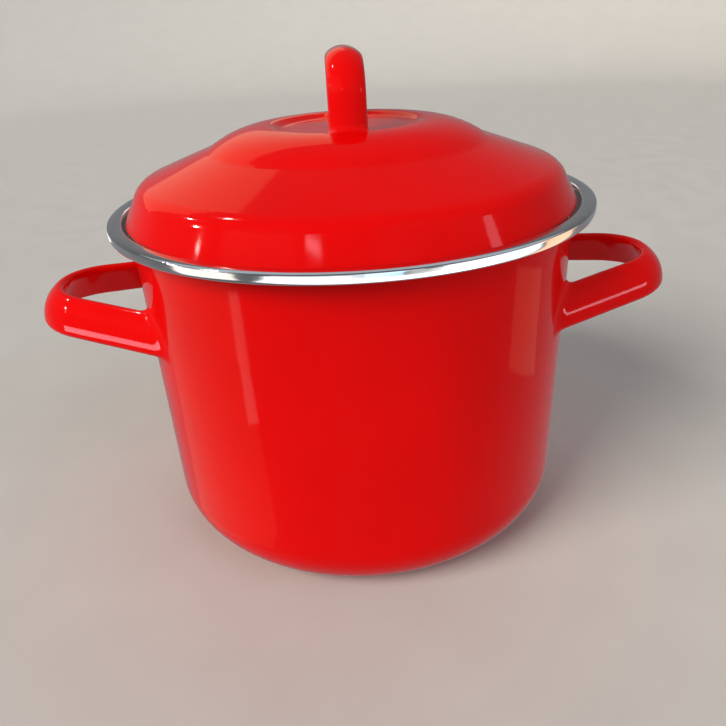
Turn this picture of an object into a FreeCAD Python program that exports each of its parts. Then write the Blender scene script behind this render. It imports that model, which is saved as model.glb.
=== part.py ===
import FreeCAD, Part
import math
import os

import Sketcher

# Red enamelled steel soup pot with a lift-off lid.
# Frame: millimetres, +Z up, origin at the centre of the base, side handles along -X and +X,
# the lid's strap loop along Y.

DIMENSIONS = {
    # Pot body, measured on the outside of the sheet.
    "base_radius": 94.5,
    "base_corner": 22.8,
    "wall_draft": 1.13,
    "pot_sheet": 1.9,
    "seat_height": 148.9,
    "recess_radius": 58.0,
    "recess_depth": 0.5,
    "neck_flare": 3.0,
    "seat_bend": 2.0,
    # Stainless band folded over the pot's flange.
    "band_radius": 105.7,
    "band_web": 1.1,
    "band_leg": 1.15,
    "band_mouth": 99.6,
    "band_lower_mouth": 101.2,
    "band_outer_round": 1.0,
    "band_mouth_round": 1.0,
    # Side handles: a crowned strap bent into a loop, its upper edge leaning in.
    "handle_crown": 17.0,
    "handle_edge": 2.6,
    "handle_back": 2.2,
    "handle_half_height": 8.8,
    "handle_reach": 139.9,
    "handle_root_half": 49.7,
    "handle_tip_half": 18.1,
    "handle_bend": 27.4,
    "handle_buried_root": 72.0,
    "handle_height": 107.3,
    "handle_rise": 4.9,
    "handle_lean": 26.0,
    "weld_spread": 2.2,
    "weld_height": 2.2,
    # Lid, measured on the outside of the sheet.
    "lid_sheet": 1.6,
    "lid_floor_radius": 26.5,
    "lid_crest_radius": 34.5,
    "lid_crest_height": 182.1,
    "lid_recess_depth": 2.0,
    "lid_crease_radius": 60.5,
    "lid_crease_height": 173.8,
    "lid_crease_round": 7.0,
    "lid_shoulder_radius": 91.1,
    "lid_shoulder_height": 162.6,
    "lid_shoulder_round": 10.0,
    "lid_foot_radius": 98.15,
    "lip_radius": 94.2,
    "lip_depth": 5.5,
    # Strap loop over the lid.
    "lid_loop_crown": 10.5,
    "lid_loop_edge": 3.6,
    "lid_loop_back": 2.6,
    "lid_loop_half_height": 7.65,
    "lid_loop_reach": 206.5,
    "lid_loop_root_half": 28.6,
    "lid_loop_tip_half": 24.0,
    "lid_loop_bend": 16.0,
    "lid_loop_lean": 0.0,
    "lid_loop_buried_root": 174.0,
    "lid_weld_spread": 1.6,
    "lid_weld_height": 1.0,
}

TOLERANCE = 0.05

doc = FreeCAD.newDocument("soup_pot")
sheet = doc.addObject("Spreadsheet::Sheet", "dim")


def fill_sheet():
    for row, (alias, number) in enumerate(DIMENSIONS.items(), start=1):
        sheet.set(f"A{row}", alias)
        sheet.set(f"B{row}", str(number))
        sheet.setAlias(f"B{row}", alias)
    doc.recompute()


def size(expression):
    """The number that an expression on the sheet's cells gives."""
    return float(sheet.evalExpression(expression))


def origin_plane(body, role):
    for feature in body.Origin.OriginFeatures:
        if feature.Role == role:
            return feature
    raise ValueError(role)


def new_body(name):
    body = doc.addObject("PartDesign::Body", name)
    body.Label = name
    return body


def new_sketch(body, name, role):
    sketch = body.newObject("Sketcher::SketchObject", name)
    sketch.AttachmentSupport = [(origin_plane(body, role), "")]
    sketch.MapMode = "FlatFace"
    return sketch


def bind(sketch, kind, *where, expression):
    """Adds one dimension to a sketch and ties it to the sheet."""
    index = sketch.addConstraint(Sketcher.Constraint(kind, *where, size(expression)))
    sketch.setExpression(f"Constraints[{index}]", expression)


def pin_point(sketch, geometry, end, x, y):
    """Fixes one end of a line or arc at a place given by two expressions."""
    for kind, axis, expression in (("DistanceX", -2, x), ("DistanceY", -1, y)):
        if expression == "0":
            sketch.addConstraint(Sketcher.Constraint("PointOnObject", geometry, end, axis))
        else:
            bind(sketch, kind, -1, 1, geometry, end, expression=expression)


def arc_between(start, stop, radius, leftward):
    """An arc shorter than a half turn, and whether it starts at start."""
    chord = stop - start
    middle = (start + stop) * 0.5
    normal = FreeCAD.Vector(-chord.y, chord.x, 0).normalize()
    rise = math.sqrt(max(radius**2 - (chord.Length / 2) ** 2, 0.0))
    centre = middle + normal * (rise if leftward else -rise)
    circle = Part.Circle(centre, FreeCAD.Vector(0, 0, 1), radius)
    first, last = (start, stop) if leftward else (stop, start)
    angles = [math.atan2(p.y - centre.y, p.x - centre.x) for p in (first, last)]
    if angles[1] < angles[0]:
        angles[1] += 2 * math.pi
    return Part.ArcOfCircle(circle, *angles)


def draw_outline(sketch, corners):
    """Draws a closed outline. Each corner is (x, y) for a line to the next corner,
    or (x, y, radius, side) for an arc to it that turns to that side."""
    places = [FreeCAD.Vector(size(c[0]), size(c[1]), 0) for c in corners]
    ends = []
    for index, corner in enumerate(corners):
        start = places[index]
        stop = places[(index + 1) % len(places)]
        if len(corner) == 2:
            geometry = sketch.addGeometry(Part.LineSegment(start, stop))
            ends.append((geometry, 1, 2))
        else:
            leftward = corner[3] == "left"
            arc = arc_between(start, stop, size(corner[2]), leftward)
            geometry = sketch.addGeometry(arc)
            ends.append((geometry, 1, 2) if leftward else (geometry, 2, 1))
    for index, (geometry, start_end, stop_end) in enumerate(ends):
        following, following_start, _ = ends[(index + 1) % len(ends)]
        join = Sketcher.Constraint("Coincident", geometry, stop_end, following, following_start)
        sketch.addConstraint(join)
        pin_point(sketch, geometry, start_end, corners[index][0], corners[index][1])
        if len(corners[index]) > 2:
            bind(sketch, "Radius", geometry, expression=corners[index][2])


def revolve(body, name, corners, kind="PartDesign::Revolution"):
    """Turns an outline drawn in the XZ plane once round the Z axis."""
    sketch = new_sketch(body, f"{name}_outline", "XZ_Plane")
    draw_outline(sketch, corners)
    feature = body.newObject(kind, name)
    feature.Profile = sketch
    feature.ReferenceAxis = (sketch, ["V_Axis"])
    feature.Angle = 360
    doc.recompute()
    return feature


def hoop_edge(shape, radius, height):
    """The name of the circular edge round Z with this radius and height."""
    for index, edge in enumerate(shape.Edges, start=1):
        if not isinstance(edge.Curve, Part.Circle):
            continue
        near_radius = abs(edge.Curve.Radius - radius) < TOLERANCE
        near_height = abs(edge.Curve.Center.z - height) < TOLERANCE
        if near_radius and near_height:
            return f"Edge{index}"
    raise ValueError(f"no edge of radius {radius:.2f} at height {height:.2f}")


def round_hoop(body, name, radius, height, rounding):
    """Rounds one circular edge, found by its radius and height."""
    base = body.Tip
    edge = hoop_edge(base.Shape, size(radius), size(height))
    fillet = body.newObject("PartDesign::Fillet", name)
    fillet.Base = (base, [edge])
    fillet.setExpression("Radius", rounding)
    doc.recompute()
    return fillet


def flat_face(shape, height):
    """The name of the horizontal flat face at this height."""
    for index, face in enumerate(shape.Faces, start=1):
        flat = isinstance(face.Surface, Part.Plane) and face.BoundBox.ZLength < TOLERANCE
        if flat and abs(face.BoundBox.ZMin - height) < TOLERANCE:
            return f"Face{index}"
    raise ValueError(f"no flat face at height {height:.2f}")


def hollow_out(body, name, open_height, sheet_expression):
    """Leaves a sheet of even thickness, open at the flat face at one height."""
    base = body.Tip
    thickness = body.newObject("PartDesign::Thickness", name)
    thickness.Base = (base, [flat_face(base.Shape, size(open_height))])
    thickness.setExpression("Value", sheet_expression)
    thickness.Reversed = True
    thickness.Join = "Intersection"
    doc.recompute()
    return thickness


# Wall: a cone whose draft is tangent to the base corner.
CORNER_RADIUS = "(dim.base_radius - dim.base_corner)"
WALL_FOOT = (
    f"{CORNER_RADIUS} + dim.base_corner * cos(dim.wall_draft * 1 deg)",
    "dim.base_corner * (1 - sin(dim.wall_draft * 1 deg))",
)


def wall_radius(height):
    """The outer radius of the wall at a height, as an expression."""
    return (
        f"({CORNER_RADIUS} + dim.base_corner / cos(dim.wall_draft * 1 deg)"
        f" + ({height} - dim.base_corner) * tan(dim.wall_draft * 1 deg))"
    )


def wall_bore(height):
    """The inner radius of the wall at a height, as an expression."""
    return f"({wall_radius(height)} - dim.pot_sheet / cos(dim.wall_draft * 1 deg))"


FLANGE_UNDERSIDE = "(dim.seat_height - dim.pot_sheet)"
FLANGE_RADIUS = "(dim.band_radius - dim.band_web)"


def make_pot_shell():
    body = new_body("pot_shell")
    revolve(body, "pot_blank", [
        ("0", "0"),
        (CORNER_RADIUS, "0", "dim.base_corner", "left"),
        WALL_FOOT,
        (wall_radius("dim.seat_height"), "dim.seat_height"),
        ("0", "dim.seat_height"),
    ])
    hollow_out(body, "pot_hollow", "dim.seat_height", "dim.pot_sheet")
    inside_sheet = f"({wall_radius(FLANGE_UNDERSIDE)} - dim.pot_sheet / 2)"
    revolve(body, "flange", [
        (inside_sheet, FLANGE_UNDERSIDE),
        (FLANGE_RADIUS, FLANGE_UNDERSIDE),
        (FLANGE_RADIUS, "dim.seat_height"),
        (inside_sheet, "dim.seat_height"),
    ])
    round_hoop(body, "neck_flare", wall_radius(FLANGE_UNDERSIDE), FLANGE_UNDERSIDE, "dim.neck_flare")
    round_hoop(body, "seat_bend", wall_bore("dim.seat_height"), "dim.seat_height", "dim.seat_bend")
    revolve(body, "base_recess", [
        ("0", "0"),
        ("dim.recess_radius + dim.recess_depth", "0"),
        ("dim.recess_radius", "dim.recess_depth"),
        ("0", "dim.recess_depth"),
    ], kind="PartDesign::Groove")
    return body


def make_rim_band():
    body = new_body("pot_rim_band")
    top = "(dim.seat_height + dim.band_leg)"
    bottom = f"({FLANGE_UNDERSIDE} - dim.band_leg)"
    revolve(body, "folded_band", [
        ("dim.band_mouth", "dim.seat_height"),
        (FLANGE_RADIUS, "dim.seat_height"),
        (FLANGE_RADIUS, FLANGE_UNDERSIDE),
        ("dim.band_lower_mouth", FLANGE_UNDERSIDE),
        ("dim.band_lower_mouth", bottom),
        ("dim.band_radius", bottom),
        ("dim.band_radius", top),
        ("dim.band_mouth", top),
    ])
    round_hoop(body, "lower_outer_round", "dim.band_radius", bottom, "dim.band_outer_round")
    round_hoop(body, "upper_outer_round", "dim.band_radius", top, "dim.band_outer_round")
    round_hoop(body, "mouth_round", "dim.band_mouth", top, "dim.band_mouth_round")
    round_hoop(body, "lower_mouth_round", "dim.band_lower_mouth", bottom, "dim.band_mouth_round")
    return body


def draw_strap_section(sketch, prefix, grow):
    """The strap's section about its path: a crowned outer face, round edges, a flat back.
    The whole outline is set out by grow."""
    half_height = f"dim.{prefix}_half_height"
    crown = f"(dim.{prefix}_crown + {grow})"
    edge = f"(dim.{prefix}_edge + {grow})"
    back = f"(dim.{prefix}_back + {grow})"
    side = f"({half_height} - dim.{prefix}_edge)"
    span = f"(dim.{prefix}_crown - dim.{prefix}_edge)"
    inset = f"sqrt({span}^2 - {side}^2)"
    blend_x = f"({edge} * {inset} / {span})"
    blend_y = f"({side} * {crown} / {span})"
    back_y = f"({half_height} - dim.{prefix}_back)"
    edge_y = f"({half_height} + {grow})"
    draw_outline(sketch, [
        (f"-{back}", f"-{back_y}", back, "left"),
        ("0", f"-{edge_y}", edge, "left"),
        (blend_x, f"-{blend_y}", crown, "left"),
        (blend_x, blend_y, edge, "left"),
        ("0", edge_y, back, "left"),
        (f"-{back}", back_y),
    ])


def draw_half_loop(sketch, reach, tip_half, root, root_half, bend):
    """Half of the loop's path: from the middle of its tip, round the bend, down one arm."""
    far, half, near, wide, radius = (size(e) for e in (reach, tip_half, root, root_half, bend))
    arm = FreeCAD.Vector(near - far, wide - half, 0)
    corner = FreeCAD.Vector(far, half, 0)
    turn = arm.getAngle(FreeCAD.Vector(0, 1, 0))
    setback = radius * math.tan(turn / 2)
    tip_end = FreeCAD.Vector(far, half - setback, 0)
    arm_start = corner + arm.normalize() * setback
    arm_end = FreeCAD.Vector(near, wide, 0)
    tip = sketch.addGeometry(Part.LineSegment(FreeCAD.Vector(far, 0, 0), tip_end))
    bend_arc = sketch.addGeometry(arc_between(tip_end, arm_start, radius, True))
    side = sketch.addGeometry(Part.LineSegment(arm_start, arm_end))
    aim = sketch.addGeometry(Part.Point(corner))
    sketch.toggleConstruction(aim)
    pin_point(sketch, tip, 1, reach, "0")
    sketch.addConstraint(Sketcher.Constraint("Vertical", tip))
    sketch.addConstraint(Sketcher.Constraint("Tangent", tip, 2, bend_arc, 1))
    sketch.addConstraint(Sketcher.Constraint("Tangent", bend_arc, 2, side, 1))
    bind(sketch, "Radius", bend_arc, expression=bend)
    pin_point(sketch, aim, 1, reach, tip_half)
    sketch.addConstraint(Sketcher.Constraint("PointOnObject", aim, 1, side))
    pin_point(sketch, side, 2, root, root_half)


def make_strap_loop(name, prefix, grow="0"):
    """A strap bent into a loop that is symmetric about its own XZ plane, reaching along X."""
    body = new_body(name)
    spine = new_sketch(body, f"{name}_path", "XY_Plane")
    reach = f"dim.{prefix}_reach"
    draw_half_loop(spine, reach, f"dim.{prefix}_tip_half", f"dim.{prefix}_buried_root",
                   f"dim.{prefix}_root_half", f"dim.{prefix}_bend")
    section = new_sketch(body, f"{name}_section", "XZ_Plane")
    section.setExpression("AttachmentOffset.Base.x", reach)
    section.setExpression("AttachmentOffset.Rotation.Angle", f"dim.{prefix}_lean * 1 deg")
    draw_strap_section(section, prefix, grow)
    doc.recompute()
    pipe = body.newObject("PartDesign::AdditivePipe", f"{name}_half")
    pipe.Profile = section
    pipe.Spine = (spine, ["Edge1", "Edge2", "Edge3"])
    doc.recompute()
    mirror = body.newObject("PartDesign::Mirrored", f"{name}_mirror")
    mirror.Originals = [pipe]
    mirror.MirrorPlane = (origin_plane(body, "XZ_Plane"), [""])
    body.Tip = mirror
    doc.recompute()
    return body


def place_side_loop(body, turn):
    """Lifts the loop to its height, tips its end up, and turns it round the pot."""
    wall = size(wall_radius("dim.handle_height"))
    hinge = FreeCAD.Vector(wall, 0, 0)
    rise = FreeCAD.Rotation(FreeCAD.Vector(0, 1, 0), -size("dim.handle_rise"))
    lift = FreeCAD.Vector(0, 0, size("dim.handle_height"))
    tipped = FreeCAD.Placement(lift, rise, hinge)
    turned = FreeCAD.Placement(FreeCAD.Vector(), FreeCAD.Rotation(FreeCAD.Vector(0, 0, 1), turn))
    body.Placement = turned * tipped


def stand_lid_loop(body):
    """Turns the loop's reach from X to Z, so that it stands over the lid along Y."""
    body.Placement.Rotation = FreeCAD.Rotation(FreeCAD.Vector(0, 1, 0), -90)


def make_wall_cone(name, grow="0"):
    """The outside of the pot's wall as a solid, set out by grow."""
    cone = doc.addObject("Part::Cone", name)
    low = "dim.base_corner"
    cone.setExpression("Radius1", f"{wall_radius(low)} + {grow}")
    cone.setExpression("Radius2", f"{wall_radius(FLANGE_UNDERSIDE)} + {grow}")
    cone.setExpression("Height", f"{FLANGE_UNDERSIDE} - {low}")
    cone.Placement.Base = FreeCAD.Vector(0, 0, size(low))
    cone.Placement.Rotation = FreeCAD.Rotation(FreeCAD.Vector(0, 0, 1), 90)
    doc.recompute()
    return cone


def lid_outline():
    """The lid's outer skin from its centre to its foot, closed along its foot and axis."""
    depth = "dim.lid_recess_depth"
    run = "(dim.lid_crest_radius - dim.lid_floor_radius)"
    floor = f"(dim.lid_crest_height - {depth})"
    bend = f"(({run}^2 + {depth}^2) / (4 * {depth}))"
    rise = "(dim.lid_crest_height - dim.lid_crease_height)"
    dome_run = "(dim.lid_crease_radius - dim.lid_crest_radius)"
    dome = f"(({dome_run}^2 + {rise}^2) / (2 * {rise}))"
    return [
        ("0", "dim.seat_height"),
        ("dim.lid_foot_radius", "dim.seat_height"),
        ("dim.lid_shoulder_radius", "dim.lid_shoulder_height"),
        ("dim.lid_crease_radius", "dim.lid_crease_height", dome, "left"),
        ("dim.lid_crest_radius", "dim.lid_crest_height", bend, "left"),
        (f"dim.lid_floor_radius + {run} / 2", f"{floor} + {depth} / 2", bend, "right"),
        ("dim.lid_floor_radius", floor),
        ("0", floor),
    ]


def make_lid_blank(name):
    """The lid pressed as a solid dome, with its shoulder and crease rounded."""
    body = new_body(name)
    revolve(body, f"{name}_dome", lid_outline())
    round_hoop(body, f"{name}_shoulder", "dim.lid_shoulder_radius", "dim.lid_shoulder_height",
               "dim.lid_shoulder_round")
    round_hoop(body, f"{name}_crease", "dim.lid_crease_radius", "dim.lid_crease_height",
               "dim.lid_crease_round")
    return body


def make_lid_shell():
    body = make_lid_blank("lid_shell")
    hollow_out(body, "lid_hollow", "dim.seat_height", "dim.lid_sheet")
    fold_top = "(dim.seat_height + dim.lid_sheet)"
    lip_foot = "(dim.seat_height - dim.lip_depth)"
    lip_bore = "(dim.lip_radius - dim.lid_sheet)"
    in_wall = "(dim.lid_foot_radius - dim.lid_sheet)"
    revolve(body, "folded_lip", [
        (lip_bore, fold_top),
        (lip_bore, lip_foot),
        ("dim.lip_radius", lip_foot),
        ("dim.lip_radius", "dim.seat_height"),
        (in_wall, "dim.seat_height"),
        (in_wall, fold_top),
    ])
    return body


def trim(name, base, tool):
    cut = doc.addObject("Part::Cut", name)
    cut.Label = name
    cut.Base = base
    cut.Tool = tool
    doc.recompute()
    return cut


def make_welds(name, strap, grown_strap, ground, cover):
    """The weld beads round a loop's feet: a grown strap, kept only where it is under the
    cover, clear of the ground it stands on, and clear of the strap itself."""
    near = doc.addObject("Part::Common", f"{name}_near")
    near.Base = grown_strap
    near.Tool = cover
    doc.recompute()
    return trim(name, trim(f"{name}_outside", near, ground), strap)


def check(objects):
    for item in doc.Objects:
        if {"Invalid", "Error"} & set(item.State):
            raise RuntimeError(f"{item.Name} failed: {item.State}")
    for item in objects:
        if item.Shape.isNull() or not item.Shape.isValid():
            raise RuntimeError(f"{item.Label} has no valid shape")
        print(f"{item.Label}: {item.Shape.Volume:.0f} mm3, {len(item.Shape.Solids)} solid(s)")


def make_lid_cover():
    """The space under the top of the beads on the lid."""
    cover = doc.addObject("Part::Cylinder", "lid_cover")
    cover.setExpression("Radius", "dim.lid_foot_radius")
    cover.setExpression("Height", "dim.lid_crest_height + dim.lid_weld_height")
    doc.recompute()
    return cover


def make_side_handle(side, turn, wall_cone, weld_cone):
    loops = []
    for kind, grow in (("strap", "0"), ("grown_strap", "dim.weld_spread")):
        loop = make_strap_loop(f"{side}_{kind}", "handle", grow)
        place_side_loop(loop, turn)
        loops.append(loop)
    handle = trim(f"{side}_handle", loops[0], wall_cone)
    return [handle, make_welds(f"{side}_handle_welds", *loops, wall_cone, weld_cone)]


def make_lid_handle():
    lid_core = make_lid_blank("lid_core")
    loops = []
    for kind, grow in (("strap", "0"), ("grown_strap", "dim.lid_weld_spread")):
        loop = make_strap_loop(f"lid_{kind}", "lid_loop", grow)
        stand_lid_loop(loop)
        loops.append(loop)
    handle = trim("lid_handle", loops[0], lid_core)
    return [handle, make_welds("lid_handle_welds", *loops, lid_core, make_lid_cover())]


def main():
    fill_sheet()
    pieces = [make_pot_shell(), make_rim_band()]
    wall_cone = make_wall_cone("wall_cone")
    weld_cone = make_wall_cone("weld_cone", "dim.weld_height")
    for side, turn in (("right", 0), ("left", 180)):
        pieces.extend(make_side_handle(side, turn, wall_cone, weld_cone))
    pieces.append(make_lid_shell())
    pieces.extend(make_lid_handle())
    check(pieces)
    os.makedirs("parts", exist_ok=True)
    for piece in pieces:
        piece.Shape.exportStep(os.path.join("parts", f"{piece.Label}.step"))


main()
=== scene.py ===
import math

import bpy
import numpy as np
from mathutils import Matrix, Vector


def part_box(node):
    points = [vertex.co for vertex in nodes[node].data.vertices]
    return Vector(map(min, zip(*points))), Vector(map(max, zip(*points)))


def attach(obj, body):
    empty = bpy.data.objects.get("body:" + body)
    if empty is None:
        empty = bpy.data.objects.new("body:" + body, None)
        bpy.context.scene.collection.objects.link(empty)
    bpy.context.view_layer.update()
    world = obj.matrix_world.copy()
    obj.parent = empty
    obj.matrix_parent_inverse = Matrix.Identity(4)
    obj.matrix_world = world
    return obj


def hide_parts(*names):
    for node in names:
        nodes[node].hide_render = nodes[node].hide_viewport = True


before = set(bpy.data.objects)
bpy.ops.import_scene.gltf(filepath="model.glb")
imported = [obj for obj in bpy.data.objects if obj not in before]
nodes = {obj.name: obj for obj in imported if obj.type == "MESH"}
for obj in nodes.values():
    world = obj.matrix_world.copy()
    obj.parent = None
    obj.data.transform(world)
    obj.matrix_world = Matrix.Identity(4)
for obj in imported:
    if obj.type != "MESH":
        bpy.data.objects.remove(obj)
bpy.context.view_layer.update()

MM = 0.001
UP = Vector((0, 0, 1))

# Camera: a phone held close in front of the pot, a little above it and to its left.
CAMERA_DISTANCE = 0.316
CAMERA_HEIGHT = 0.2231
CAMERA_SIDE = math.radians(1.52)
CAMERA_HEADING = math.radians(1.76)
CAMERA_DIP = math.radians(26.56)
CAMERA_ROLL = math.radians(-3.17)
CAMERA_LENS = 34.71
CAMERA_SENSOR = 36
CAMERA_NEAR = 0.01

# Strap loops, millimetres, as in the CAD: the section, its path, and the enamel fillet at the feet.
SIDE_LOOP = {
    "half_height": 8.8,
    "crown": 17.0,
    "edge": 2.6,
    "back": 2.2,
    "lean": 26.0,
    "reach": 139.9,
    "tip_half": 18.1,
    "root": 72.0,
    "root_half": 49.7,
    "bend": 27.4,
    "strap_leg": 6.5,
    "ground_leg": 6.0,
}
LID_LOOP = {
    "half_height": 7.65,
    "crown": 10.5,
    "edge": 3.6,
    "back": 2.6,
    "lean": 0.0,
    "reach": 206.5,
    "tip_half": 24.0,
    "root": 174.0,
    "root_half": 28.6,
    "bend": 16.0,
    "strap_leg": 3.5,
    "ground_leg": 3.0,
}
HANDLE_HEIGHT = 107.3
HANDLE_RISE = math.radians(4.9)

# Lid recess, millimetres.
LID_FLOOR_RADIUS = 26.5
LID_CREST_RADIUS = 34.5
LID_RECESS_DEPTH = 2.0
LID_DOME_RADIUS = 44.87

# Heights on the wall between which its slope is read, millimetres.
WALL_FROM = 30
WALL_TO = 140

# Handle meshes: rows down a fillet, and how deep its edge and its cap lie in the sheet, millimetres.
FILLET_ROWS = 14
SUNK = 0.05
CAP_DEPTH = 0.6
ROUND_STEPS = 8
CROWN_STEPS = 20
FLAT_STEPS = 10
TIP_STEPS = 3
BEND_STEPS = 28
ARM_STEPS = 4
SHARP_ANGLE = math.radians(40)
MEET_ROUNDS = 12
SETTLE_ROUNDS = 6

# Rim band, millimetres: a strip folded over the pot's flange. Its roundings are (across, up).
BAND_MOUTH = 99.6
BAND_LOWER_MOUTH = 101.2
BAND_WEB = 1.1
BAND_LEG = 1.15
BAND_TOP_ROUND = (3.4, 1.0)
BAND_BOTTOM_ROUND = (0.45, 1.9)
BAND_MOUTH_ROUND = (1.2, 1.0)
BAND_ROUND_STEPS = 14
BAND_SUPPORT = 1.1
LATHE_STEPS = 360

# Studio floor, metres: flat to a radius, then curved up into a low wall.
FLOOR_FLAT = 2.0
FLOOR_CURVE = 1.0
FLOOR_WALL = 1.4
FLOOR_DROP = 0.0002
FLOOR_RINGS = 4
FLOOR_CURVE_STEPS = 16
FLOOR_STEPS = 96


# ---------------------------------------------------------------- ground surfaces

def outer_wall():
    """The pot's wall as (radius at height 0, growth of radius with height), in millimetres."""
    points = np.array([v.co for v in nodes["pot_shell"].data.vertices]) / MM
    radius = np.hypot(points[:, 0], points[:, 1])
    height = points[:, 2]
    span = (height > WALL_FROM) & (height < WALL_TO)
    middle = radius[span].mean()
    outside = span & (radius > middle)
    growth, start = np.polyfit(height[outside], radius[outside], 1)
    return start, growth


WALL_START, WALL_GROWTH = outer_wall()
WALL_DRAFT = math.atan(WALL_GROWTH)
LID_CREST_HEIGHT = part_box("lid_shell")[1].z / MM


def on_wall(point):
    """The wall's point beside a point, and the wall's normal there."""
    turn = math.atan2(point.y, point.x)
    radius = WALL_START + WALL_GROWTH * point.z
    level = math.cos(WALL_DRAFT)
    place = Vector((radius * math.cos(turn), radius * math.sin(turn), point.z))
    normal = Vector((level * math.cos(turn), level * math.sin(turn), -math.sin(WALL_DRAFT)))
    return place, normal


def lid_skin(radius):
    """The lid's outer skin near its middle: (height, slope) at a radius."""
    floor = LID_CREST_HEIGHT - LID_RECESS_DEPTH
    run = LID_CREST_RADIUS - LID_FLOOR_RADIUS
    bend = (run**2 + LID_RECESS_DEPTH**2) / (4 * LID_RECESS_DEPTH)
    if radius <= LID_FLOOR_RADIUS:
        return floor, 0.0
    if radius <= LID_FLOOR_RADIUS + run / 2:
        out = radius - LID_FLOOR_RADIUS
        rise = math.sqrt(bend**2 - out**2)
        return floor + bend - rise, out / rise
    curve = bend if radius <= LID_CREST_RADIUS else LID_DOME_RADIUS
    out = radius - LID_CREST_RADIUS
    rise = math.sqrt(curve**2 - out**2)
    return LID_CREST_HEIGHT - curve + rise, -out / rise


def on_lid(point):
    """The lid's point under or over a point, and the lid's normal there."""
    turn = math.atan2(point.y, point.x)
    height, slope = lid_skin(math.hypot(point.x, point.y))
    normal = Vector((-slope * math.cos(turn), -slope * math.sin(turn), 1)).normalized()
    return Vector((point.x, point.y, height)), normal


def meet(start, direction, ground):
    """Where a line meets the ground."""
    point = start.copy()
    for _ in range(MEET_ROUNDS):
        place, normal = ground(point)
        point = point - direction * ((point - place).dot(normal) / direction.dot(normal))
    return point


def settle(point, ground):
    """The nearest place on the ground to a point near it."""
    for _ in range(SETTLE_ROUNDS):
        place, normal = ground(point)
        point = point - normal * (point - place).dot(normal)
    return point


# ---------------------------------------------------------------- pieces

def new_piece(name, points, faces, body, material):
    mesh = bpy.data.meshes.new(name)
    mesh.from_pydata(points, [], faces)
    mesh.shade_smooth()
    mesh.set_sharp_from_angle(angle=SHARP_ANGLE)
    mesh.materials.append(material)
    piece = bpy.data.objects.new(name, mesh)
    bpy.context.scene.collection.objects.link(piece)
    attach(piece, body)
    return piece


def arc(centre, radius, first, last, steps):
    """Points on an arc, from one angle to another in degrees, without the last one."""
    angles = np.radians(np.linspace(first, last, steps, endpoint=False))
    return [(centre[0] + radius * math.cos(a), centre[1] + radius * math.sin(a)) for a in angles]


def strap_section(loop):
    """Points round the strap's section as (outward, up) from its path."""
    half, crown, edge, back = (loop[k] for k in ("half_height", "crown", "edge", "back"))
    side = half - edge
    inset = math.sqrt((crown - edge) ** 2 - side**2)
    blend = math.degrees(math.atan2(side, inset))
    corner = half - back
    points = arc((0, -corner), back, 180, 270, ROUND_STEPS)
    points += arc((0, -side), edge, -90, -blend, ROUND_STEPS)
    points += arc((-inset, 0), crown, -blend, blend, CROWN_STEPS)
    points += arc((0, side), edge, blend, 90, ROUND_STEPS)
    points += arc((0, corner), back, 90, 180, ROUND_STEPS)
    points += [(-back, y) for y in np.linspace(corner, -corner, FLAT_STEPS, endpoint=False)]
    lean = math.radians(loop["lean"])
    return [
        (x * math.cos(lean) - y * math.sin(lean), x * math.sin(lean) + y * math.cos(lean))
        for x, y in points
    ]


def half_path(loop):
    """The path from the middle of the tip down to one arm, as (point, outward direction) pairs,
    then the arm's direction away from the ground and its outward side."""
    far, near = loop["reach"], loop["root"]
    arm = Vector((near - far, loop["root_half"] - loop["tip_half"], 0)).normalized()
    turn = arm.angle(Vector((0, 1, 0)))
    setback = loop["bend"] * math.tan(turn / 2)
    tip_end = loop["tip_half"] - setback
    centre = Vector((far - loop["bend"], tip_end, 0))
    tip = np.linspace(0, tip_end, TIP_STEPS, endpoint=False)
    stations = [(Vector((far, y, 0)), Vector((1, 0, 0))) for y in tip]
    for angle in np.linspace(0, turn, BEND_STEPS):
        outward = Vector((math.cos(angle), math.sin(angle), 0))
        stations.append((centre + outward * loop["bend"], outward))
    outward = Vector((math.cos(turn), math.sin(turn), 0))
    return stations, -arm, outward


def ease(step, steps):
    """From 0 to 1, slow at both ends."""
    return (1 - math.cos(math.pi * step / steps)) / 2


def loop_rows(loop, placement, ground):
    """Rings of points along half a loop, from the middle of its tip to its cap in the ground."""
    section = strap_section(loop)
    stations, away, outward = half_path(loop)
    turn_only = placement.to_3x3()

    def ring(point, side):
        return [placement @ (point + side * x + UP * z) for x, z in section]

    rows = [ring(point, side) for point, side in stations]
    start = rows[-1]
    away_placed = turn_only @ away
    side_placed = turn_only @ outward
    up_placed = turn_only @ UP
    feet = [meet(p, away_placed, ground) for p in start]
    tops = [foot + away_placed * loop["strap_leg"] for foot in feet]
    rows += [
        [a.lerp(b, step / ARM_STEPS) for a, b in zip(start, tops)] for step in range(1, ARM_STEPS)
    ]
    spreads = []
    for index, foot in enumerate(feet):
        before, after = section[index - 1], section[(index + 1) % len(section)]
        out = (after[1] - before[1], before[0] - after[0])
        spread = side_placed * out[0] + up_placed * out[1]
        normal = ground(foot)[1]
        spread = (spread - normal * spread.dot(normal)).normalized()
        end = settle(foot + spread * loop["ground_leg"], ground)
        spreads.append(end - ground(end)[1] * SUNK)
    for step in range(FILLET_ROWS + 1):
        t = ease(step, FILLET_ROWS)
        rows.append([
            top * (1 - t) ** 2 + foot * 2 * t * (1 - t) + end * t**2
            for top, foot, end in zip(tops, feet, spreads)
        ])
    rows.append([p - ground(p)[1] * CAP_DEPTH for p in rows[-1]])
    return rows


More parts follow.
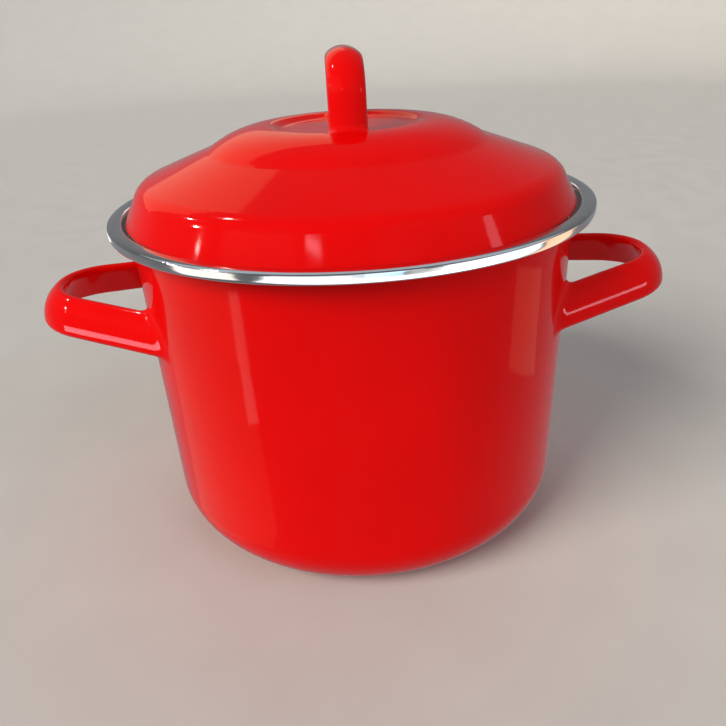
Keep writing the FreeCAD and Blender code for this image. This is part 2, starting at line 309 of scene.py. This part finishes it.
def strap_loop(name, loop, placement, ground, body, replaced):
    """One strap loop with its fillets, closed at both ends inside the sheet it stands on."""
    half = loop_rows(loop, placement, ground)
    mirror = placement @ Matrix.Scale(-1, 4, Vector((0, 1, 0))) @ placement.inverted()
    other = [[mirror @ p for p in row] for row in half[1:]]
    rows = other[::-1] + half
    count = len(rows[0])
    points = [p * MM for row in rows for p in row]
    faces = []
    for r in range(len(rows) - 1):
        for c in range(count):
            d = (c + 1) % count
            faces.append((r * count + c, (r + 1) * count + c, (r + 1) * count + d, r * count + d))
    for row, flip in ((0, False), (len(rows) - 1, True)):
        points.append(sum(rows[row], Vector()) / count * MM)
        hub = len(points) - 1
        for c in range(count):
            rim = (row * count + c, row * count + (c + 1) % count)
            faces.append((hub, *(rim[::-1] if flip else rim)))
    piece = new_piece(name, points, faces, body, red_enamel)
    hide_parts(*replaced)


def rounded_outline(corners):
    """Points round a closed outline of (radius, height, rounding) corners. A rounding is its
    reach across and its reach in height, or None; each has a support point on either side."""
    points = []
    for index, (x, y, rounding) in enumerate(corners):
        corner = Vector((x, y))
        if rounding is None:
            points.append(corner)
            continue
        across, up = rounding
        back, ahead = (
            Vector((math.copysign(across, next_x - x) if next_x != x else 0,
                    math.copysign(up, next_y - y) if next_y != y else 0))
            for next_x, next_y, _ in (corners[index - 1], corners[(index + 1) % len(corners)])
        )
        points.append(corner + back * BAND_SUPPORT)
        for step in range(BAND_ROUND_STEPS + 1):
            angle = math.radians(90 * step / BAND_ROUND_STEPS)
            points.append(corner + back * (1 - math.sin(angle)) + ahead * (1 - math.cos(angle)))
        points.append(corner + ahead * BAND_SUPPORT)
    return points


def make_rim_band():
    """The folded band, turned once round the pot."""
    low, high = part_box("pot_rim_band")
    outer, bottom, top = high.x / MM, low.z / MM, high.z / MM
    outline = rounded_outline([
        (BAND_MOUTH, top - BAND_LEG, None),
        (outer - BAND_WEB, top - BAND_LEG, None),
        (outer - BAND_WEB, bottom + BAND_LEG, None),
        (BAND_LOWER_MOUTH, bottom + BAND_LEG, None),
        (BAND_LOWER_MOUTH, bottom, BAND_MOUTH_ROUND),
        (outer, bottom, BAND_BOTTOM_ROUND),
        (outer, top, BAND_TOP_ROUND),
        (BAND_MOUTH, top, BAND_MOUTH_ROUND),
    ])
    points, faces = [], []
    count = len(outline)
    for step in range(LATHE_STEPS):
        turn = 2 * math.pi * step / LATHE_STEPS
        points += [(x * math.cos(turn) * MM, x * math.sin(turn) * MM, y * MM) for x, y in outline]
        here, there = step * count, (step + 1) % LATHE_STEPS * count
        for c in range(count):
            d = (c + 1) % count
            faces.append((here + c, there + c, there + d, here + d))
    band = new_piece("pot_rim_ring", points, faces, "pot", rim_steel)
    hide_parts("pot_rim_band")


def side_placement(turn):
    """Lifts the loop to its height, tips its end up, and turns it round the pot."""
    hinge = Vector((WALL_START + WALL_GROWTH * HANDLE_HEIGHT, 0, 0))
    rise = Matrix.Rotation(-HANDLE_RISE, 4, "Y")
    lift = Matrix.Translation(Vector((0, 0, HANDLE_HEIGHT)))
    tipped = lift @ Matrix.Translation(hinge) @ rise @ Matrix.Translation(-hinge)
    return Matrix.Rotation(turn, 4, "Z") @ tipped


# ---------------------------------------------------------------- materials

DEEP_RED = (0.66, 0.0006, 0.0006)
BRIGHT_RED = (0.76, 0.0010, 0.0008)
DARK_ENAMEL = (0.012, 0.012, 0.014)
FLECK = (0.55, 0.55, 0.55)
DULL_STEEL = (0.74, 0.745, 0.75)
CLEAN_STEEL = (0.84, 0.845, 0.85)
FLOOR_DARK = (0.50, 0.49, 0.47)
FLOOR_LIGHT = (0.55, 0.54, 0.52)
ENAMEL_IOR = 1.5
ENAMEL_SPECULAR = 0.32

# Depths of the bumps, metres.
ENAMEL_WAVES = 0.00012
ENAMEL_PEEL = 0.000006
STEEL_WAVES = 0.00008
STEEL_LINES = 0.0000015


def new_material(name):
    material = bpy.data.materials.new(name)
    material.use_nodes = True
    tree = material.node_tree
    return material, tree, tree.nodes["Principled BSDF"]


def add(tree, kind, **settings):
    """Adds a node. Settings are its own properties, and inputs holds its sockets' values."""
    node = tree.nodes.new(kind)
    for name, value in settings.items():
        if name == "inputs":
            for socket, number in value.items():
                node.inputs[socket].default_value = number
        else:
            setattr(node, name, value)
    return node


def noise(tree, coordinates, scale, detail=2.0, roughness=0.5):
    values = {"Scale": scale, "Detail": detail, "Roughness": roughness}
    node = add(tree, "ShaderNodeTexNoise", inputs=values)
    tree.links.new(coordinates, node.inputs["Vector"])
    return node.outputs["Fac"]


def remap(tree, value, low, high, new_low, new_high):
    values = {"From Min": low, "From Max": high, "To Min": new_low, "To Max": new_high}
    node = add(tree, "ShaderNodeMapRange", inputs=values)
    tree.links.new(value, node.inputs["Value"])
    return node.outputs["Result"]


def blend_colours(tree, factor, first, second):
    """Mixes two colours, each a value or a socket."""
    node = add(tree, "ShaderNodeMix", data_type="RGBA")
    tree.links.new(factor, node.inputs["Factor"])
    for socket, colour in ((node.inputs[6], first), (node.inputs[7], second)):
        if isinstance(colour, bpy.types.NodeSocket):
            tree.links.new(colour, socket)
        else:
            socket.default_value = (*colour, 1)
    return node.outputs[2]


def math_node(tree, operation, first, second=None):
    node = add(tree, "ShaderNodeMath", operation=operation)
    for socket, value in zip(node.inputs, (first, second)):
        if isinstance(value, bpy.types.NodeSocket):
            tree.links.new(value, socket)
        elif value is not None:
            socket.default_value = value
    return node.outputs[0]


def bump_layers(tree, layers):
    """Stacks bump maps: each layer is (height socket, depth in metres)."""
    normal = None
    for height, depth in layers:
        bump = add(tree, "ShaderNodeBump", inputs={"Strength": 1.0, "Distance": depth})
        tree.links.new(height, bump.inputs["Height"])
        if normal is not None:
            tree.links.new(normal, bump.inputs["Normal"])
        normal = bump.outputs["Normal"]
    return normal


def across_part(tree, place):
    """A place's offset from the pot's axis, with no height."""
    flat = add(tree, "ShaderNodeVectorMath", operation="MULTIPLY", inputs={1: (1, 1, 0)})
    tree.links.new(place, flat.inputs[0])
    return flat.outputs[0]


def enamel_surface(tree, shader, place, deep, bright):
    """Fired enamel: a soft shift of colour, faint waves, an orange-peel skin and wiped smears."""
    cloud = noise(tree, place, 9, 3)
    colour = blend_colours(tree, remap(tree, cloud, 0.35, 0.65, 0, 1), deep, bright)
    smear = noise(tree, place, 45, 5, 0.65)
    tree.links.new(remap(tree, smear, 0.35, 0.7, 0.045, 0.10), shader.inputs["Roughness"])
    waves = noise(tree, place, 38, 1)
    peel = noise(tree, place, 420, 2)
    normal = bump_layers(tree, [(waves, ENAMEL_WAVES), (peel, ENAMEL_PEEL)])
    tree.links.new(normal, shader.inputs["Normal"])
    shader.inputs["IOR"].default_value = ENAMEL_IOR
    shader.inputs["Specular IOR Level"].default_value = ENAMEL_SPECULAR
    return colour


def make_red_enamel():
    material, tree, shader = new_material("red_enamel")
    place = add(tree, "ShaderNodeTexCoord").outputs["Object"]
    colour = enamel_surface(tree, shader, place, DEEP_RED, BRIGHT_RED)
    tree.links.new(colour, shader.inputs["Base Color"])
    return material


def make_two_sided_enamel(name, inside_sign):
    """Red enamel outside and speckled dark enamel inside. The inside is where the surface faces
    the axis or, by the sign, up (the pot) or down (the lid)."""
    material, tree, shader = new_material(name)
    place = add(tree, "ShaderNodeTexCoord").outputs["Object"]
    red = enamel_surface(tree, shader, place, DEEP_RED, BRIGHT_RED)
    cells = add(tree, "ShaderNodeTexVoronoi", inputs={"Scale": 420.0, "Randomness": 1.0})
    tree.links.new(place, cells.inputs["Vector"])
    fleck = remap(tree, cells.outputs["Distance"], 0.16, 0.24, 1, 0)
    chance = remap(tree, noise(tree, place, 260, 2), 0.52, 0.60, 0, 1)
    dark = blend_colours(tree, math_node(tree, "MULTIPLY", fleck, chance), DARK_ENAMEL, FLECK)
    geometry = add(tree, "ShaderNodeNewGeometry")
    outward = add(tree, "ShaderNodeVectorMath", operation="NORMALIZE")
    tree.links.new(across_part(tree, place), outward.inputs[0])
    facing = add(tree, "ShaderNodeVectorMath", operation="DOT_PRODUCT")
    tree.links.new(outward.outputs[0], facing.inputs[0])
    tree.links.new(geometry.outputs["Normal"], facing.inputs[1])
    upright = add(tree, "ShaderNodeSeparateXYZ")
    tree.links.new(geometry.outputs["Normal"], upright.inputs[0])
    lean = math_node(tree, "MULTIPLY", upright.outputs["Z"], inside_sign)
    inward = math_node(tree, "SUBTRACT", lean, facing.outputs["Value"])
    inside = remap(tree, inward, -0.05, 0.05, 0, 1)
    tree.links.new(blend_colours(tree, inside, red, dark), shader.inputs["Base Color"])
    return material


def make_rim_steel():
    """Polished stainless steel: fine lines run round the band, with soft smears."""
    material, tree, shader = new_material("rim_steel")
    place = add(tree, "ShaderNodeTexCoord").outputs["Object"]
    split = add(tree, "ShaderNodeSeparateXYZ")
    tree.links.new(place, split.inputs[0])
    radius = add(tree, "ShaderNodeVectorMath", operation="LENGTH")
    tree.links.new(across_part(tree, place), radius.inputs[0])
    turn = math_node(tree, "ARCTAN2", split.outputs["Y"], split.outputs["X"])
    around = add(tree, "ShaderNodeCombineXYZ")
    tree.links.new(math_node(tree, "MULTIPLY", turn, 0.02), around.inputs["X"])
    tree.links.new(radius.outputs["Value"], around.inputs["Y"])
    tree.links.new(split.outputs["Z"], around.inputs["Z"])
    lines = noise(tree, around.outputs[0], 2600, 3, 0.6)
    smear = noise(tree, place, 60, 4, 0.6)
    colour = blend_colours(tree, remap(tree, smear, 0.3, 0.7, 0, 1), DULL_STEEL, CLEAN_STEEL)
    tree.links.new(colour, shader.inputs["Base Color"])
    tree.links.new(remap(tree, smear, 0.3, 0.7, 0.07, 0.15), shader.inputs["Roughness"])
    waves = noise(tree, place, 55, 1)
    normal = bump_layers(tree, [(waves, STEEL_WAVES), (lines, STEEL_LINES)])
    tree.links.new(normal, shader.inputs["Normal"])
    shader.inputs["Metallic"].default_value = 1.0
    return material


def make_floor_material():
    material, tree, shader = new_material("floor_matte")
    place = add(tree, "ShaderNodeTexCoord").outputs["Object"]
    grain = noise(tree, place, 30, 4)
    colour = blend_colours(tree, grain, FLOOR_DARK, FLOOR_LIGHT)
    tree.links.new(colour, shader.inputs["Base Color"])
    tree.links.new(remap(tree, grain, 0.3, 0.7, 0.5, 0.7), shader.inputs["Roughness"])
    return material


def dress(node, material):
    nodes[node].data.materials.clear()
    nodes[node].data.materials.append(material)


red_enamel = make_red_enamel()
pot_enamel = make_two_sided_enamel("pot_enamel", 1.0)
lid_enamel = make_two_sided_enamel("lid_enamel", -1.0)
dress("pot_shell", pot_enamel)
dress("lid_shell", lid_enamel)
rim_steel = make_rim_steel()
make_rim_band()

for side, turn in (("right", 0), ("left", math.pi)):
    strap_loop(f"{side}_handle_loop", SIDE_LOOP, side_placement(turn), on_wall, "pot",
               [f"{side}_handle", f"{side}_handle_welds"])
strap_loop("lid_handle_loop", LID_LOOP, Matrix.Rotation(math.radians(-90), 4, "Y"), on_lid, "lid",
           ["lid_handle", "lid_handle_welds"])


# ---------------------------------------------------------------- stage

def make_floor():
    """A plain round floor that curves up into a low plain wall far from the pot."""
    profile = [(FLOOR_FLAT * ring / FLOOR_RINGS, -FLOOR_DROP) for ring in range(1, FLOOR_RINGS + 1)]
    for step in range(1, FLOOR_CURVE_STEPS + 1):
        angle = math.radians(90 * step / FLOOR_CURVE_STEPS)
        across, up = math.sin(angle), 1 - math.cos(angle)
        profile.append((FLOOR_FLAT + FLOOR_CURVE * across, FLOOR_CURVE * up))
    profile.append((FLOOR_FLAT + FLOOR_CURVE, FLOOR_WALL))
    points = [(0, 0, -FLOOR_DROP)]
    faces = []
    count = len(profile)
    for turn in range(FLOOR_STEPS):
        angle = 2 * math.pi * turn / FLOOR_STEPS
        points += [(r * math.cos(angle), r * math.sin(angle), z) for r, z in profile]
        here, there = turn * count + 1, (turn + 1) % FLOOR_STEPS * count + 1
        faces.append((0, here, there))
        faces += [(here + i, here + i + 1, there + i + 1, there + i) for i in range(count - 1)]
    mesh = bpy.data.meshes.new("floor")
    mesh.from_pydata(points, [], faces)
    mesh.shade_smooth()
    floor = bpy.data.objects.new("floor", mesh)
    bpy.context.scene.collection.objects.link(floor)
    mesh.materials.append(make_floor_material())
    floor.visible_glossy = False
    floor.visible_shadow = False


def towards(azimuth, elevation):
    """The direction to a light. Azimuth 0 is in front, 90 on the right and 180 behind."""
    a, e = math.radians(azimuth), math.radians(elevation)
    return Vector((math.sin(a) * math.cos(e), -math.cos(a) * math.cos(e), math.sin(e)))


def place_light(name, data, place, back):
    light = bpy.data.objects.new(name, data)
    light.location = place
    light.rotation_mode = "QUATERNION"
    light.rotation_quaternion = (-back).to_track_quat("-Z", "Y")
    bpy.context.scene.collection.objects.link(light)
    return light


def sun(name, azimuth, elevation, energy, spread, colour):
    """An even, soft light from far away that stays out of the reflections."""
    data = bpy.data.lights.new(name, "SUN")
    data.energy = energy
    data.angle = math.radians(spread)
    data.color = colour
    light = place_light(name, data, Vector(), towards(azimuth, elevation))
    light.visible_glossy = False


def panel(name, target, azimuth, elevation, distance, width, height, radiance, colour, only=()):
    """A rectangle of even radiance aimed at a target that shows in reflections only, either on
    everything or on a few pieces."""
    data = bpy.data.lights.new(name, "AREA")
    data.shape = "RECTANGLE"
    data.size = width
    data.size_y = height
    data.energy = radiance * math.pi * width * height
    data.color = colour
    back = towards(azimuth, elevation)
    light = place_light(name, data, Vector(target) + back * distance, back)
    light.visible_camera = False
    light.visible_diffuse = False
    if only:
        group = bpy.data.collections.new(name)
        for piece in only:
            group.objects.link(nodes[piece] if piece in nodes else bpy.data.objects[piece])
        light.light_linking.receiver_collection = group


ROOM_IN_FRONT = 0.15
ROOM_BEHIND = 0.31
PALE_BACKDROP = 0.6


def make_world():
    """A dim room in front and a paler one behind for the reflections, and pale for the camera."""
    world = bpy.data.worlds.new("studio")
    world.use_nodes = True
    tree = world.node_tree
    room = tree.nodes["Background"]
    room.inputs["Color"].default_value = (0.80, 0.82, 0.85, 1)
    split = add(tree, "ShaderNodeSeparateXYZ")
    tree.links.new(add(tree, "ShaderNodeTexCoord").outputs["Generated"], split.inputs[0])
    behind = math_node(tree, "SUBTRACT", split.outputs["Y"], split.outputs["Z"])
    strength = remap(tree, behind, 0.2, 1.0, ROOM_IN_FRONT, ROOM_BEHIND)
    tree.links.new(strength, room.inputs["Strength"])
    values = {"Color": (0.80, 0.80, 0.80, 1), "Strength": PALE_BACKDROP}
    pale = add(tree, "ShaderNodeBackground", inputs=values)
    path = add(tree, "ShaderNodeLightPath")
    mix = add(tree, "ShaderNodeMixShader")
    tree.links.new(path.outputs["Is Camera Ray"], mix.inputs["Fac"])
    tree.links.new(room.outputs[0], mix.inputs[1])
    tree.links.new(pale.outputs[0], mix.inputs[2])
    tree.links.new(mix.outputs[0], tree.nodes["World Output"].inputs["Surface"])
    bpy.context.scene.world = world


def make_camera():
    data = bpy.data.cameras.new("camera")
    data.lens = CAMERA_LENS
    data.sensor_width = CAMERA_SENSOR
    data.clip_start = CAMERA_NEAR
    camera = bpy.data.objects.new("camera", data)
    place = Vector((-math.sin(CAMERA_SIDE), -math.cos(CAMERA_SIDE), 0)) * CAMERA_DISTANCE
    place.z = CAMERA_HEIGHT
    heading = Matrix.Rotation(-CAMERA_HEADING, 4, "Z")
    dip = Matrix.Rotation(math.pi / 2 - CAMERA_DIP, 4, "X")
    roll = Matrix.Rotation(CAMERA_ROLL, 4, "Z")
    camera.matrix_world = Matrix.Translation(place) @ heading @ dip @ roll
    bpy.context.scene.collection.objects.link(camera)
    bpy.context.scene.camera = camera


make_floor()
make_world()
make_camera()

# Places on the pot that the panels aim at, and the pieces that some of them show on.
LID_LEFT = (-0.057, -0.072, 0.159)
LID_FRONT = (-0.015, -0.093, 0.157)
LID_RIGHT = (0.047, -0.083, 0.154)
RING_FRONT = (0, -0.105, 0.148)
WALL_RIGHT = (0.063, -0.073, 0.108)
WALL_LEFT = (-0.042, -0.087, 0.110)
RING_RIGHT = (0.067, -0.082, 0.148)
RING_LEFT = (-0.067, -0.082, 0.148)
HANDLE_RIGHT = (0.125, -0.03, 0.112)
HANDLE_LEFT = (-0.125, -0.03, 0.112)
LID, RING = ["lid_shell", "lid_handle_loop"], ["pot_rim_ring"]
LEFT_LOOP, RIGHT_LOOP, WALL = ["left_handle_loop"], ["right_handle_loop"], ["pot_shell"]

WARM, COOL, WHITE = (1.0, 0.93, 0.84), (0.86, 0.93, 1.0), (1, 1, 1)
ORANGE, PINK = (1.0, 0.55, 0.30), (1.0, 0.80, 0.90)
BLUE, SKY = (0.74, 0.88, 1.0), (0.40, 0.74, 1.0)

# Soft light that shapes the pot, kept out of its reflections.
sun("key", -54, 35, 3.35, 35, WARM)
sun("fill", 45, 30, 1.15, 60, COOL)
sun("back", 165, 50, 0.5, 60, WHITE)

# Panels that only show as reflections in the enamel and the steel.
for number, (azimuth, elevation) in enumerate(((-110, 36), (-120, 54), (-92, 27))):
    panel(f"lamp_{number}", LID_LEFT, azimuth, elevation, 1.0, 0.04, 0.03, 150, WARM)
panel("lamp_low", LID_LEFT, -85, 21.5, 1.0, 0.03, 0.02, 25, WARM)
panel("window_front", LID_FRONT, -23, 36.5, 1.0, 0.12, 0.025, 6, PINK, LID)
panel("window_right", LID_RIGHT, 73, 24, 1.0, 0.10, 0.12, 2.2, PINK, LID)
panel("window_rail", HANDLE_RIGHT, 68, 4, 1.0, 0.40, 0.10, 5, PINK, RIGHT_LOOP)
panel("window_left", HANDLE_LEFT, -66, -8, 1.0, 0.40, 0.22, 6, PINK, LEFT_LOOP)
panel("wall_glow", LID_LEFT, -155, 28, 1.2, 1.2, 0.7, 0.6, ORANGE, LID)
panel("ceiling", RING_FRONT, 180, 54, 1.5, 2.4, 0.9, 0.42, BLUE, RING)
panel("strip_inner", RING_LEFT, 176, 17, 1.0, 0.30, 0.05, 1.6, WARM, RING)
panel("strip_outer", RING_LEFT, -162, -12, 1.0, 0.50, 0.10, 1.2, WARM, RING)
panel("card_upper", RING_FRONT, -5, 12, 0.30, 0.44, 0.38, 0.70, COOL, RING)
panel("card_sky", RING_FRONT, 12, 12, 0.28, 0.10, 0.36, 1.05, SKY, RING)
panel("card_front", RING_FRONT, 12, -37, 0.30, 0.80, 0.18, 1.5, WHITE, RING)
panel("card_side", RING_RIGHT, 60, 0, 0.30, 0.34, 0.60, 1.35, COOL, RING)
panel("card_orange", RING_RIGHT, 104, 0, 0.30, 0.12, 0.50, 1.3, ORANGE, RING)
panel("card_back", RING_LEFT, -70, 0, 0.30, 0.20, 0.36, 1.3, WARM, RING)
panel("card_right", WALL_RIGHT, 97, -22.5, 0.16, 0.07, 0.065, 0.42, ORANGE, WALL)
panel("card_left", WALL_LEFT, -66, -26, 0.17, 0.02, 0.08, 0.9, WARM, WALL)
panel("left_glow", WALL_LEFT, -95, -28, 1.0, 1.0, 0.8, 0.25, ORANGE, WALL)

bpy.context.scene.view_settings.view_transform = "Standard"
